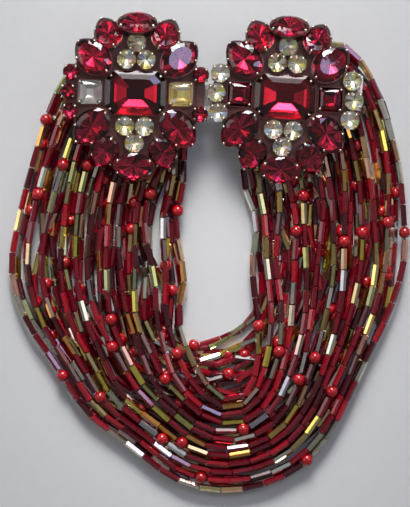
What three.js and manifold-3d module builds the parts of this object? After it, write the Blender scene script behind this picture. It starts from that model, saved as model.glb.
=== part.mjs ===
// Bib necklace of long glass beads on two jewelled plaques, lying flat with its face up.
// Millimetres, +Z up, +Y from the strands to the plaques, +X to the right seen from above.
import * as THREE from "three";
import { mergeVertices } from "three/addons/utils/BufferGeometryUtils.js";
import Module from "manifold-3d";

const wasm = await Module();
wasm.setup();

// Clearance between pieces that touch on the real necklace
const CLEARANCE = 0.3;

// Strands
const BEAD_DIAMETER = 2.7;
const STRAND_STEP = 10;
const TOP_STRANDS = 12;
const STRAND_SIDES = 8;
const BUNDLE_EDGE = 2.8;
const BUNDLE_MIDDLE = 5.6;
const BUNDLE_ROWS = 36;
const PROBE_REACH = 2;
const STRAY = 0.28;
const STRAY_FADE = 9;
const STRAY_WAVES = 4;
const STRAY_PHASE = 2.4;

// Stones: length and width at the girdle
const OCTAGON_LENGTH = 25;
const OCTAGON_WIDTH = 18;
const SQUARE_SIDE = 9.6;
const PEAR_LENGTH = 18;
const PEAR_WIDTH = 13;
const PETAL_LENGTH = 15;
const PETAL_WIDTH = 11;
const OVAL_LENGTH = 16;
const OVAL_WIDTH = 11;
const ROUND_DIAMETER = 7.2;
const SMALL_ROUND_DIAMETER = 6;
const CORNER_CUT = 3.6;
const SQUARE_CORNER_CUT = 0.9;
const CROWN = 1.9;
const PAVILION = 2.6;
const GIRDLE = 0.6;
const STONE_SIDES = 8;

// Settings
const CUP_WALL = 0.5;
const ROUND_WALL = 0.4;
const CUP_RIM = 0.5;
const FOOT = 0.8;
const PLATE = 1;
const PLATE_LENGTH = 56;
const PLATE_WIDTH = 62;
const OCTAGON_LEVEL = 4.6;
const SQUARE_LEVEL = 3.8;
const PEAR_LEVEL = 5.4;
const PETAL_LEVEL = 3.1;
const OVAL_LEVEL = 4.3;
const ROUND_LEVEL = 4.8;

// End bars and clasp
const SPINE = 3;
const SPINE_OVERRUN = 0.5;
const STRAP = 1;
const STRAP_WIDTH = 15;
const CLASP_LENGTH = 18;
const CLASP_WIDTH = 9;
const CLASP_THICKNESS = 1.2;

// Where the plaques lie, each turned a little as the necklace was laid down
const PLAQUES = {
  left: { y: 68.4, turn: -1.5, clasp: 1, strap: { from: -26, to: 22, y: 0 } },
  right: { y: 66.8, turn: -3.5, clasp: -1, strap: { from: -21, to: 32.6, y: 3.7 } },
};
const PLAQUES_MIDDLE = 1.4;
const PLAQUE_GAP = 0.42;

// The spine of each end bar, from the strands' inner to their outer edge
const SPINES = {
  left: { inner: [-9.5, 51.5], outer: [-42, 86] },
  right: { inner: [14.9, 48.3], outer: [47, 90] },
};

// Routes of the strands, from the left plaque round to the right one: lines across the
// band, from its inner to its outer edge. The lower strands cut the corner at the right.
const BUNDLE_ROUTE = [
  { inner: [-9.5, 41], outer: [-54, 82] },
  { inner: [-10, 27.8], outer: [-65, 66] },
  { inner: [-14.1, 14.1], outer: [-73.3, 42] },
  { inner: [-12.5, 1.3], outer: [-80, 17.1] },
  { inner: [-10, -10.7], outer: [-83, -6.4] },
  { inner: [-11.5, -23.5], outer: [-76.5, -28] },
  { inner: [-11.5, -35.5], outer: [-64.5, -45] },
  { inner: [-5, -38], outer: [-54.5, -66] },
  { inner: [1.3, -36.5], outer: [-33.6, -78.4] },
  { inner: [7.3, -33.5], outer: [-12, -95] },
  { inner: [12.8, -29.5], outer: [10.7, -99] },
  { inner: [17.9, -25.5], outer: [30, -95.5] },
  { inner: [22, -19.5], outer: [51, -78] },
  { inner: [23, -11], outer: [67, -48] },
  { inner: [21.5, -3], outer: [77.5, -25] },
  { inner: [21, 6.4], outer: [82.2, -3] },
  { inner: [21.2, 15.8], outer: [82.5, 21.4] },
  { inner: [18.7, 25.2], outer: [80.2, 52] },
  { inner: [17.2, 33.5], outer: [73, 74] },
  { inner: [16.4, 41], outer: [59, 88.5] },
];
const TOP_ROUTE = [
  { inner: [-9.5, 41], outer: [-54, 82] },
  { inner: [-10, 27.8], outer: [-65, 66] },
  { inner: [-14.1, 14.1], outer: [-73.3, 42] },
  { inner: [-12.5, 1.3], outer: [-80, 17.1] },
  { inner: [-10, -10.7], outer: [-83, -6.4] },
  { inner: [-11, -24], outer: [-76.5, -28] },
  { inner: [-9, -36], outer: [-65, -46] },
  { inner: [-5.5, -47], outer: [-51.5, -66.5] },
  { inner: [0, -56], outer: [-33.6, -80] },
  { inner: [6.5, -61], outer: [-12, -95.5] },
  { inner: [13, -61.2], outer: [11.5, -99.5] },
  { inner: [17.9, -56.8], outer: [35, -92.7] },
  { inner: [20.6, -49.6], outer: [50.5, -79] },
  { inner: [22.4, -39], outer: [61, -60.5] },
  { inner: [22.5, -27], outer: [69.5, -42] },
  { inner: [20.5, -14], outer: [78, -22] },
  { inner: [19, -2], outer: [82.5, -2] },
  { inner: [20, 9], outer: [82.3, 18] },
  { inner: [19.5, 19], outer: [81.3, 38] },
  { inner: [17, 28.5], outer: [77, 60] },
  { inner: [16, 35.5], outer: [69, 79] },
  { inner: [16.4, 42], outer: [57.5, 89.5] },
];

// Height of the bundle under the top strands, across the band: share of the width,
// and share of the rise from edge to middle.
const MOUND = [
  [0, 0],
  [0.16, 0.8],
  [0.32, 1],
  [0.68, 1],
  [0.84, 0.8],
  [1, 0],
];

const COLOURS = {
  gunmetal: { color: "#3b3632", roughness: 0.35, metalness: 0.9 },
  pale: { color: "#b9b2a8", roughness: 0.3, metalness: 0.9 },
  ruby: { color: "#7d0a1c", roughness: 0.06, metalness: 0.1 },
  aurora: { color: "#cfc7a0", roughness: 0.06, metalness: 0.3 },
  beads: { color: "#861322", roughness: 0.18, metalness: 0.1 },
};

const necklace = new THREE.Group();

function addMesh(parent, name, geometry, finish) {
  const mesh = new THREE.Mesh(geometry, new THREE.MeshStandardMaterial(COLOURS[finish]));
  mesh.name = name;
  parent.add(mesh);
  return mesh;
}

// Solids for joins and cuts

function toSolid(geometry) {
  const bare = geometry.clone();
  bare.deleteAttribute("normal");
  bare.deleteAttribute("uv");
  const merged = mergeVertices(bare, 1e-4);
  const mesh = new wasm.Mesh({
    numProp: 3,
    vertProperties: new Float32Array(merged.attributes.position.array),
    triVerts: new Uint32Array(merged.index.array),
  });
  return new wasm.Manifold(mesh);
}

function toGeometry(solid) {
  const mesh = solid.getMesh();
  const geometry = new THREE.BufferGeometry();
  geometry.setAttribute("position", new THREE.BufferAttribute(mesh.vertProperties, 3));
  geometry.setIndex(new THREE.BufferAttribute(mesh.triVerts, 1));
  geometry.computeVertexNormals();
  return geometry;
}

// Stones

const STONES = {
  octagon: { cut: "step", length: OCTAGON_LENGTH, width: OCTAGON_WIDTH, corner: CORNER_CUT },
  square: { cut: "step", length: SQUARE_SIDE, width: SQUARE_SIDE, corner: SQUARE_CORNER_CUT },
  pear: { cut: "pear", length: PEAR_LENGTH, width: PEAR_WIDTH },
  petal: { cut: "pear", length: PETAL_LENGTH, width: PETAL_WIDTH },
  oval: { cut: "oval", length: OVAL_LENGTH, width: OVAL_WIDTH },
};
const PEAR_TAPER = 0.35;

function outlinePoint(stone, angle, grow) {
  const along = Math.cos(angle);
  const across = Math.sin(angle);
  const long = stone.length / 2 + grow;
  const wide = stone.width / 2 + grow;
  if (stone.cut === "step") {
    const atEnd = Math.abs(along) > Math.abs(across);
    const x = atEnd ? long : long - stone.corner;
    const y = atEnd ? wide - stone.corner : wide;
    return [Math.sign(along) * x, Math.sign(across) * y];
  }
  const taper = stone.cut === "pear" ? PEAR_TAPER * Math.max(0, along) ** 2 : 0;
  return [long * along, wide * across * (1 - taper)];
}

// A body turned on the stone's outline: each point of the profile is a share of the
// outline and a height, from the bottom up.
function turned(stone, profile, grow = 0) {
  const sides = stone.cut === "step" ? 8 : STONE_SIDES;
  const points = profile.map(([share, height]) => new THREE.Vector2(share, height));
  const body = new THREE.LatheGeometry(points, sides);
  body.rotateX(Math.PI / 2);
  if (stone.cut === "step") body.rotateZ(Math.PI / sides);
  const position = body.attributes.position;
  for (let i = 0; i < position.count; i += 1) {
    const share = Math.hypot(position.getX(i), position.getY(i));
    const angle = Math.atan2(position.getY(i), position.getX(i));
    const [x, y] = outlinePoint(stone, angle, grow);
    position.setXY(i, share * x, share * y);
  }
  return body;
}

function stoneBody(stone) {
  const crown = stone.cut === "step" ? [[0.84, CROWN * 0.65]] : [];
  return turned(stone, [
    [0, -PAVILION],
    [1, -GIRDLE / 2],
    [1, GIRDLE / 2],
    ...crown,
    [0.62, CROWN],
    [0, CROWN],
  ]);
}

// The room that a stone needs in its setting, open towards the front
function seatBody(stone) {
  const below = -PAVILION - CLEARANCE;
  return turned(
    stone,
    [
      [0, below],
      [1, -GIRDLE / 2 - CLEARANCE],
      [1, CROWN + CLEARANCE],
      [0, CROWN + CLEARANCE],
    ],
    CLEARANCE,
  );
}

// A cup from the plate up to the stone's girdle, narrower at its foot
function cupBody(stone, depth) {
  return turned(
    stone,
    [
      [0, -depth],
      [0.66, -depth],
      [1, -GIRDLE],
      [1, CUP_RIM],
      [0, CUP_RIM],
    ],
    CLEARANCE + CUP_WALL,
  );
}

// Plaques

const DEGREE = Math.PI / 180;
const OCTAGON_REACH = OCTAGON_LENGTH / 2 + CUP_WALL + CLEARANCE;
const OCTAGON_RISE = OCTAGON_WIDTH / 2 + CUP_WALL + CLEARANCE;
const SQUARE_X = OCTAGON_REACH + CLEARANCE + SQUARE_SIDE / 2 + CUP_WALL + CLEARANCE;
const ROUND_CUP = ROUND_DIAMETER / 2 + ROUND_WALL;
const SMALL_ROUND_CUP = SMALL_ROUND_DIAMETER / 2 + ROUND_WALL;
const PAIR_X = ROUND_CUP + CLEARANCE / 2;
const PAIR_Y = OCTAGON_RISE + CLEARANCE + ROUND_CUP;
const THIRD_Y = PAIR_Y + PAIR_X * Math.sqrt(3);
const OVAL_TILT = { upper: 42, lower: 20 };
const PETAL_TILT = 30;
const PEAR_TILT = 12;
const OVAL_START = THIRD_Y + ROUND_CUP + CLEARANCE;
const END_X = SQUARE_X + SQUARE_SIDE / 2 + CUP_WALL + 2 * CLEARANCE;
const END_BACK = 0.3;

// The plaques lie end to end, with a gap between their nearest round stones.
const PLAQUE_PITCH = 2 * END_X + (2 - END_BACK) * (ROUND_CUP + SMALL_ROUND_CUP) + PLAQUE_GAP;
PLAQUES.left.x = PLAQUES_MIDDLE - PLAQUE_PITCH / 2;
PLAQUES.right.x = PLAQUES_MIDDLE + PLAQUE_PITCH / 2;

// The large stones of a plaque: each has its place, the direction that it faces outwards,
// its tilt that way, and the turn of its long axis.
const PEAR_STEP = (PEAR_LENGTH / 2 + CLEARANCE + CUP_WALL) * Math.SQRT1_2 - CORNER_CUT / 2;
const PEAR_REACH = OCTAGON_REACH + PEAR_STEP;
const PEAR_RISE = OCTAGON_RISE + PEAR_STEP;
const PETAL_ANGLE = 64;
const PETAL_RING = OVAL_START + PETAL_WIDTH * 0.24;

// The way is +1 for the end at the clasp on the left plaque, and -1 on the right one.
function largeStones(clasp) {
  const flat = { tilt: 0, spin: 0 };
  const square = { stone: "square", y: 0, level: SQUARE_LEVEL, ...flat };
  const list = [
    { name: "octagon", stone: "octagon", x: 0, y: 0, faces: 0, level: OCTAGON_LEVEL, ...flat },
    { name: "square_outer", x: -clasp * SQUARE_X, faces: 0, ...square },
    { name: "square_inner", x: clasp * SQUARE_X, faces: 0, ...square },
  ];
  for (const [half, sign] of [["upper", 1], ["lower", -1]]) {
    const tilt = OVAL_TILT[half];
    const oval = OVAL_START + (OVAL_WIDTH / 2 + CLEARANCE) * Math.cos(tilt * DEGREE);
    const middle = { x: 0, y: sign * oval, faces: 90 * sign, tilt, spin: 90 };
    list.push({ name: `petal_${half}_middle`, stone: "oval", level: OVAL_LEVEL, ...middle });
    for (const [end, way] of [["outer", -clasp], ["inner", clasp]]) {
      const faces = Math.atan2(sign, way) / DEGREE;
      const corner = { x: way * PEAR_REACH, y: sign * PEAR_RISE, faces };
      const pear = { stone: "pear", level: PEAR_LEVEL, tilt: PEAR_TILT, spin: 0 };
      list.push({ name: `pear_${half}_${end}`, ...corner, ...pear });
      const x = way * PETAL_RING * Math.cos(PETAL_ANGLE * DEGREE);
      const y = sign * PETAL_RING * Math.sin(PETAL_ANGLE * DEGREE);
      const petal = { x, y, faces: Math.atan2(y, x) / DEGREE, tilt: PETAL_TILT, spin: 0 };
      list.push({ name: `petal_${half}_${end}`, stone: "petal", level: PETAL_LEVEL, ...petal });
    }
  }
  return list;
}

// Round stones in threes, each three in cups on one foot
function endTrio(way, cup) {
  const middle = END_X + cup;
  const spread = 2 * ROUND_CUP + CLEARANCE;
  const back = cup * END_BACK;
  return [
    [way * middle, 0],
    [way * (middle - back), spread],
    [way * (middle - back), -spread],
  ];
}

function axisTrio(sign) {
  return [
    [-PAIR_X, sign * PAIR_Y],
    [PAIR_X, sign * PAIR_Y],
    [0, sign * THIRD_Y],
  ];
}

function trios(side) {
  const large = { diameter: ROUND_DIAMETER, cup: ROUND_CUP, finish: "aurora" };
  const small = { diameter: SMALL_ROUND_DIAMETER, cup: SMALL_ROUND_CUP, finish: "ruby" };
  const { clasp } = PLAQUES[side];
  const end = side === "left" ? small : large;
  const inner = endTrio(clasp, end.cup);
  return [
    { name: "trio_upper", places: axisTrio(1), ...large },
    { name: "trio_lower", places: axisTrio(-1), ...large },
    { name: "trio_outer", places: endTrio(-clasp, end.cup), ...end },
    { name: "trio_inner", places: side === "left" ? inner.slice(1) : inner, ...end },
  ];
}

function roundStoneInCup(diameter, cup, grow) {
  const profile = [
    [0, -grow],
    [cup * 0.7 + grow, -grow],
    [cup + grow, ROUND_LEVEL - GIRDLE],
    [cup + grow, ROUND_LEVEL],
    [diameter * 0.3 + grow, ROUND_LEVEL + CROWN * 0.8 + grow],
    [0, ROUND_LEVEL + CROWN * 0.8 + grow],
  ];
  const body = new THREE.LatheGeometry(profile.map(([x, y]) => new THREE.Vector2(x, y)), 8);
  body.rotateX(Math.PI / 2);
  return body;
}

// The foot is a bar from stone to stone
function footBetween(a, b, cup, grow) {
  const span = Math.hypot(b[0] - a[0], b[1] - a[1]);
  const bar = new THREE.BoxGeometry(span, cup + 2 * grow, FOOT + 2 * grow);
  bar.translate(0, 0, FOOT / 2);
  bar.rotateZ(Math.atan2(b[1] - a[1], b[0] - a[0]));
  bar.translate((a[0] + b[0]) / 2, (a[1] + b[1]) / 2, 0);
  return bar;
}

function trioSolid(trio, grow = 0) {
  let solid = null;
  for (const [x, y] of trio.places) {
    const body = roundStoneInCup(trio.diameter, trio.cup, grow);
    body.translate(x, y, 0);
    solid = solid ? solid.add(toSolid(body)) : toSolid(body);
  }
  for (let i = 1; i < trio.places.length; i += 1) {
    solid = solid.add(toSolid(footBetween(trio.places[0], trio.places[i], trio.cup, grow)));
  }
  return solid;
}

// Heights of the stack: strands, strap of the end bar, plate of the plaque
const TOP_CENTRE = BUNDLE_MIDDLE + CLEARANCE + BEAD_DIAMETER / 2;
const STRAP_BOTTOM = TOP_CENTRE + BEAD_DIAMETER / 2 + CLEARANCE;
const PLATE_BOTTOM = STRAP_BOTTOM + STRAP + CLEARANCE;
const PLATE_TOP = PLATE_BOTTOM + PLATE;

function stoneMatrix(place) {
  const matrix = new THREE.Matrix4().makeTranslation(place.x, place.y, place.level);
  matrix.multiply(new THREE.Matrix4().makeRotationZ(place.faces * DEGREE));
  matrix.multiply(new THREE.Matrix4().makeRotationY(place.tilt * DEGREE));
  matrix.multiply(new THREE.Matrix4().makeRotationZ(place.spin * DEGREE));
  return matrix;
}

// One plaque in its own frame, with the top of its plate at Z = 0
function plaqueSolid(side) {
  const outline = new THREE.Shape();
  outline.absellipse(0, 0, PLATE_LENGTH / 2, PLATE_WIDTH / 2, 0, 2 * Math.PI, false, 0);
  const options = { depth: PLATE, bevelEnabled: false, curveSegments: 20 };
  const plate = new THREE.ExtrudeGeometry(outline, options);
  plate.translate(0, 0, -PLATE);
  let solid = toSolid(plate);
  const stones = largeStones(PLAQUES[side].clasp);
  for (const place of stones) {
    const depth = (place.level + PLATE / 2) / Math.cos(place.tilt * DEGREE);
    const cup = cupBody(STONES[place.stone], depth).applyMatrix4(stoneMatrix(place));
    solid = solid.add(toSolid(cup));
  }
  for (const place of stones) {
    const seat = seatBody(STONES[place.stone]).applyMatrix4(stoneMatrix(place));
    solid = solid.subtract(toSolid(seat));
  }
  for (const trio of trios(side)) {
    const room = toGeometry(trioSolid(trio, CLEARANCE)).translate(0, 0, CLEARANCE);
    solid = solid.subtract(toSolid(room));
  }
  const below = new THREE.BoxGeometry(PLATE_LENGTH * 2, PLATE_WIDTH * 2, PLATE_WIDTH);
  below.translate(0, 0, -PLATE - PLATE_WIDTH / 2);
  return solid.subtract(toSolid(below));
}

function addPlaque(side) {
  const spec = PLAQUES[side];
  const plaque = new THREE.Group();
  plaque.position.set(spec.x, spec.y, PLATE_TOP);
  plaque.rotation.z = spec.turn * DEGREE;
  necklace.add(plaque);
  addMesh(plaque, `plaque_${side}`, toGeometry(plaqueSolid(side)), "gunmetal");
  for (const place of largeStones(spec.clasp)) {
    const body = stoneBody(STONES[place.stone]).applyMatrix4(stoneMatrix(place));
    const clear = side === "left" && place.stone === "square";
    addMesh(plaque, `${place.name}_${side}`, body, clear ? "aurora" : "ruby");
  }
  for (const trio of trios(side)) {
    const mesh = addMesh(plaque, `${trio.name}_${side}`, toGeometry(trioSolid(trio)), trio.finish);
    mesh.position.z = CLEARANCE;
  }
}

// End bars: a spine that stands under the plaque, where the strands end, and a strap
// across it that carries the plaque.

function spineLine(side) {
  const inner = new THREE.Vector2(...SPINES[side].inner);
  const outer = new THREE.Vector2(...SPINES[side].outer);
  const along = outer.clone().sub(inner).normalize();
  const turn = side === "left" ? 1 : -1;
  const away = new THREE.Vector2(-along.y * turn, along.x * turn);
  return { inner, outer, along, away };
}

function addEndBar(side) {
  const { inner, outer, along, away } = spineLine(side);
  const length = inner.distanceTo(outer) + BEAD_DIAMETER + 2 * SPINE_OVERRUN;
  const centre = inner.clone().lerp(outer, 0.5).addScaledVector(away, -SPINE / 2);
  const spine = new THREE.BoxGeometry(length, SPINE, STRAP_BOTTOM + STRAP);
  spine.translate(0, 0, (STRAP_BOTTOM + STRAP) / 2);
  spine.rotateZ(Math.atan2(along.y, along.x));
  spine.translate(centre.x, centre.y, 0);
  const plaque = PLAQUES[side];
  const { from, to, y } = plaque.strap;
  const strap = new THREE.BoxGeometry(to - from, STRAP_WIDTH, STRAP);
  strap.translate((from + to) / 2, y, STRAP_BOTTOM + STRAP / 2);
  strap.rotateZ(plaque.turn * DEGREE);
  strap.translate(plaque.x, plaque.y, 0);
  const bar = toSolid(spine).add(toSolid(strap));
  addMesh(necklace, `end_bar_${side}`, toGeometry(bar), "pale");
}

// The clasp lies under both plates and joins them.
function addClasp() {
  const { left, right } = PLAQUES;
  const clasp = new THREE.BoxGeometry(CLASP_LENGTH, CLASP_WIDTH, CLASP_THICKNESS);
  const edges = left.x + right.x;
  const height = PLATE_BOTTOM - CLEARANCE - CLASP_THICKNESS / 2;
  clasp.translate(edges / 2, (left.y + right.y) / 2, height);
  addMesh(necklace, "clasp", clasp, "pale");
}

// The band of strands

// A band starts and ends at the spines' faces.
function bandEdges(rows) {
  const band = [SPINES.left, ...rows, SPINES.right];
  const inner = smoothCurve(band.map((row) => row.inner));
  const outer = smoothCurve(band.map((row) => row.outer));
  return { inner, outer };
}

function smoothCurve(points) {
  const vectors = points.map(([x, y]) => new THREE.Vector3(x, y, 0));
  return new THREE.CatmullRomCurve3(vectors, false, "catmullrom", 0.5);
}

function acrossBand(edges, along, share) {
  return edges.inner.getPoint(along).lerp(edges.outer.getPoint(along), share);
}

// The lower strands, two deep, are one solid with a flat underside.
function addBundle() {
  const edges = bandEdges(BUNDLE_ROUTE);
  const columns = MOUND.length - 1;
  const body = new THREE.BoxGeometry(1, 1, 1, columns, BUNDLE_ROWS, 1);
  const position = body.attributes.position;
  for (let i = 0; i < position.count; i += 1) {
    const [share, rise] = MOUND[Math.round((position.getX(i) + 0.5) * columns)];
    const along = Math.min(1, Math.max(0, position.getY(i) + 0.5));
    const place = acrossBand(edges, along, share);
    if (along === 0) place.add(clearOf("left", 0));
    if (along === 1) place.add(clearOf("right", 0));
    const top = BUNDLE_EDGE + (BUNDLE_MIDDLE - BUNDLE_EDGE) * rise;
    position.setXYZ(i, place.x, place.y, position.getZ(i) > 0 ? top : 0);
  }
  return addMesh(necklace, "strand_bundle", body, "beads");
}

// The step away from a spine's face that leaves the clearance, for an end face that
// reaches back towards it.
function clearOf(side, reach) {
  const { away } = spineLine(side);
  return new THREE.Vector3(away.x, away.y, 0).multiplyScalar(CLEARANCE + reach);
}

// Height of the bundle's top under a strand's width, or of its edge beside it
const probe = new THREE.Raycaster();
const DOWN = new THREE.Vector3(0, 0, -1);
const WIDTH_POINTS = [[0, 0], [1, 0], [-1, 0], [0, 1], [0, -1]];

function bundleTop(bundle, place) {
  const heights = WIDTH_POINTS.map(([x, y]) => {
    const side = new THREE.Vector3(x, y, 0).multiplyScalar(PROBE_REACH);
    probe.set(side.add(place).setZ(2 * BUNDLE_MIDDLE), DOWN);
    const hits = probe.intersectObject(bundle);
    return hits.length ? hits[0].point.z : BUNDLE_EDGE;
  });
  return Math.max(...heights);
}

// A top strand keeps its share of the layer and strays a little from side to side.
function strandPlace(edges, index, along) {
  const width = edges.inner.getPoint(along).distanceTo(edges.outer.getPoint(along));
  const pitch = width / (TOP_STRANDS - 1);
  const slack = Math.max(0, pitch - BEAD_DIAMETER - CLEARANCE);
  const fade = Math.min(1, STRAY_FADE * along, STRAY_FADE * (1 - along));
  const wave = Math.sin(along * STRAY_WAVES * 2 * Math.PI + index * STRAY_PHASE);
  const share = index / (TOP_STRANDS - 1) + (STRAY * slack * fade * wave) / width;
  return acrossBand(edges, along, share);
}

// The end face of a strand that leaves the spine at a slant reaches back by this much.
function slant(side, end, next) {
  const { away } = spineLine(side);
  const leaving = new THREE.Vector2(next.x - end.x, next.y - end.y).normalize();
  return (Math.abs(leaving.cross(away)) * BEAD_DIAMETER) / 2;
}

function addStrand(edges, bundle, index) {
  const count = (TOP_ROUTE.length + 1) * 3;
  const points = [];
  for (let i = 0; i <= count; i += 1) {
    const place = strandPlace(edges, index, i / count);
    place.z = bundleTop(bundle, place) + CLEARANCE + BEAD_DIAMETER / 2;
    points.push(place);
  }
  points[0].z = points[1].z;
  points[count].z = points[count - 1].z;
  points[0].add(clearOf("left", slant("left", points[0], points[1])));
  points[count].add(clearOf("right", slant("right", points[count], points[count - 1])));
  const route = new THREE.CatmullRomCurve3(points, false, "catmullrom", 0.5);
  const section = new THREE.Shape();
  section.absarc(0, 0, BEAD_DIAMETER / 2, 0, 2 * Math.PI, false);
  const tube = new THREE.ExtrudeGeometry(section, {
    steps: Math.round(route.getLength() / STRAND_STEP),
    curveSegments: STRAND_SIDES / 2,
    bevelEnabled: false,
    extrudePath: route,
  });
  addMesh(necklace, `strand_${index + 1}`, tube, "beads");
}

function addStrands() {
  const bundle = addBundle();
  bundle.updateMatrixWorld();
  const edges = bandEdges(TOP_ROUTE);
  for (let index = 0; index < TOP_STRANDS; index += 1) addStrand(edges, bundle, index);
}

addPlaque("left");
addPlaque("right");
addEndBar("left");
addEndBar("right");
addClasp();
addStrands();

// The origin is the middle of the underside.
const box = new THREE.Box3().setFromObject(necklace);
const middle = box.getCenter(new THREE.Vector3());
for (const child of necklace.children) {
  child.position.x -= middle.x;
  child.position.y -= middle.y;
  child.position.z -= box.min.z;
}

export default necklace;
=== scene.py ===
"""Bib necklace of bugle bead strands on two jewelled plaques, laid flat on a pale surface."""

import math
import random
from collections import namedtuple

import bpy
import numpy as np
from bpy.props import FloatProperty, FloatVectorProperty, IntProperty, PointerProperty
from mathutils import Matrix, Vector
from mathutils.bvhtree import BVHTree


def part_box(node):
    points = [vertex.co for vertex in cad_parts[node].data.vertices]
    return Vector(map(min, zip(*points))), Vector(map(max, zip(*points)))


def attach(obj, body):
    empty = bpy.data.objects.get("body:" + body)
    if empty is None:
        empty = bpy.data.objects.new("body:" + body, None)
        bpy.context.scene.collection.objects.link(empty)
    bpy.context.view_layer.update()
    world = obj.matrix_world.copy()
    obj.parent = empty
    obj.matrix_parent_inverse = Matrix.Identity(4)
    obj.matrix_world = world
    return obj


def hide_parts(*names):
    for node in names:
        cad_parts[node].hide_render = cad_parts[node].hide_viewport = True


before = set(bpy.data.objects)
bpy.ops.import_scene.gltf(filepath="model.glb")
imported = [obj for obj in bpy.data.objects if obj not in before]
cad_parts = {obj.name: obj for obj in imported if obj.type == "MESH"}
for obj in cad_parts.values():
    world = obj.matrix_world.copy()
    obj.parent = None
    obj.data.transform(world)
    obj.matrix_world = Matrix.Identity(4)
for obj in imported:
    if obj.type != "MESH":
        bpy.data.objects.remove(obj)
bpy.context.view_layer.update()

bl_info = {
    "name": "Bib Necklace",
    "version": (1, 0, 0),
    "blender": (4, 5, 0),
    "location": "3D View > Sidebar > Necklace",
    "description": "Builds the bead strands, settings and stones of a bib necklace",
    "category": "Add Mesh",
}

MM = 0.001

# Places in the plan of the necklace, in millimetres, before its box is centred
PLAQUES = {
    "left": {"x": -30.2, "y": 68.4, "turn": -1.5, "clasp": 1},
    "right": {"x": 33.0, "y": 66.8, "turn": -3.5, "clasp": -1},
}

# Points of the inner and the outer edge of a band of strands (x, y and x, y), from the left end bar
# to the right one; both bands start and end alike
ROUTE_START = [
    (-9.5, 51.5, -42, 86), (-9.5, 41, -54, 82), (-10, 27.8, -65, 66), (-14.1, 14.1, -73.3, 42),
    (-12.5, 1.3, -80, 17.1), (-10, -10.7, -83, -6.4),
]
ROUTE_END = (14.9, 48.3, 47, 90)
LOWER_ROUTE = [
    *ROUTE_START,
    (-11.5, -23.5, -76.5, -28), (-11.5, -35.5, -64.5, -45), (-5, -38, -54.5, -66),
    (1.3, -36.5, -33.6, -78.4), (7.3, -33.5, -12, -95), (12.8, -29.5, 10.7, -99),
    (17.9, -25.5, 30, -95.5), (22, -19.5, 51, -78), (23, -11, 67, -48), (21.5, -3, 77.5, -25),
    (21, 6.4, 82.2, -3), (21.2, 15.8, 82.5, 21.4), (18.7, 25.2, 80.2, 52), (17.2, 33.5, 73, 74),
    (16.4, 41, 59, 88.5),
    ROUTE_END,
]
TOP_ROUTE = [
    *ROUTE_START,
    (-11, -24, -76.5, -28), (-9, -36, -65, -46), (-5.5, -47, -51.5, -66.5), (0, -56, -33.6, -80),
    (6.5, -61, -12, -95.5), (13, -61.2, 11.5, -99.5), (17.9, -56.8, 35, -92.7),
    (20.6, -49.6, 50.5, -79), (22.4, -39, 61, -60.5), (22.5, -27, 69.5, -42), (20.5, -14, 78, -22),
    (19, -2, 82.5, -2), (20, 9, 82.3, 18), (19.5, 19, 81.3, 38), (17, 28.5, 77, 60), (16, 35.5, 69, 79),
    (16.4, 42, 57.5, 89.5),
    ROUTE_END,
]

# Sizes of the frame's solids, in millimetres
CLEARANCE = 0.3
BEAD = 2.7
BUNDLE_EDGE, BUNDLE_MIDDLE = 2.8, 5.6
PLATE_TOP, PLATE_THICKNESS, PLATE_LENGTH, PLATE_WIDTH = 11.2, 1, 56, 62
CAD_CUP_WALL, ROUND_CUP_WALL = 0.5, 0.4
# The bundle's height across the band: shares of the width, and of the rise from edge to middle
MOUND = ((0, 0.16, 0.32, 0.68, 0.84, 1), (0, 0.8, 1, 1, 0.8, 0))

# How the top strands stray: shares of the room between them, waves along them, and millimetres
STRAY, STRAY_FADE, STRAY_WAVES, STRAY_PHASE, LOOSE = 0.28, 9, 4, 2.4, 0.7
PROBE_STEPS = ((0, 0), (2, 0), (-2, 0), (0, 2), (0, -2))

# Each layer of lower strands: how many fewer than on the floor, the shares of the band where the first
# and the last lie, the levels that they take in turn from bottom (0) to top (1), and millimetres of sway
LOWER_LAYERS = (
    {"fewer": 0, "shares": (0.02, 0.98), "levels": (0, 0.12), "sway": 1.4},
    {"fewer": 6, "shares": (0.12, 0.88), "levels": (1, 0.62), "sway": 3.4},
)
LOWER_FADE, LOWER_EDGE, RIPPLE = 6, 0.015, 0.6

# Stringing: bare thread at each end in millimetres, bugles before the first round bead and between two,
# how far a round bead rises over its strand, and the share of the bugles that are metal-coated
END_MARGIN, FIRST_ROUND, NEXT_ROUND, ROUND_RISE, COATED_SHARE = 2.2, (1, 12), (10, 16), 0.4, 0.4
THREAD_SIDES, THREAD_STEP, THREAD_OVERRUN = 5, 16, 1.5
FULL_TURN = 6.3

# First seed of each kind of piece
SWAY_SEED, TOP_SEED, LOWER_SWAY_SEED, LOWER_SEED, LAYER_SEEDS = 900, 100, 7, 300, 50
STONE_SEED, ROUND_SEED, LEFT_SEEDS = 500, 700, 40


def plan_shift():
    """The step in millimetres from the plan to the frame: the clasp is midway between the plaques."""
    low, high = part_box("clasp")
    centre = (low + high) / 2 / MM
    x, y = ((PLAQUES["left"][axis] + PLAQUES["right"][axis]) / 2 for axis in "xy")
    return np.array([centre.x - x, centre.y - y, 0])


SHIFT = plan_shift()


def linear(value):
    """An sRGB hex value as linear red, green and blue."""
    parts = [int(value[i : i + 2], 16) / 255 for i in (1, 3, 5)]
    return tuple(p / 12.92 if p <= 0.04045 else ((p + 0.055) / 1.055) ** 2.4 for p in parts)


def length(name, description, millimetres):
    """A size property, with its default given in millimetres."""
    return FloatProperty(name=name, description=description, default=millimetres * MM, unit="LENGTH")


def swatch(name, description, value):
    """A colour property, with its default given as an sRGB hex value."""
    return FloatVectorProperty(
        name=name, description=description, default=linear(value), subtype="COLOR", size=3, min=0, max=1
    )


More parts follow.
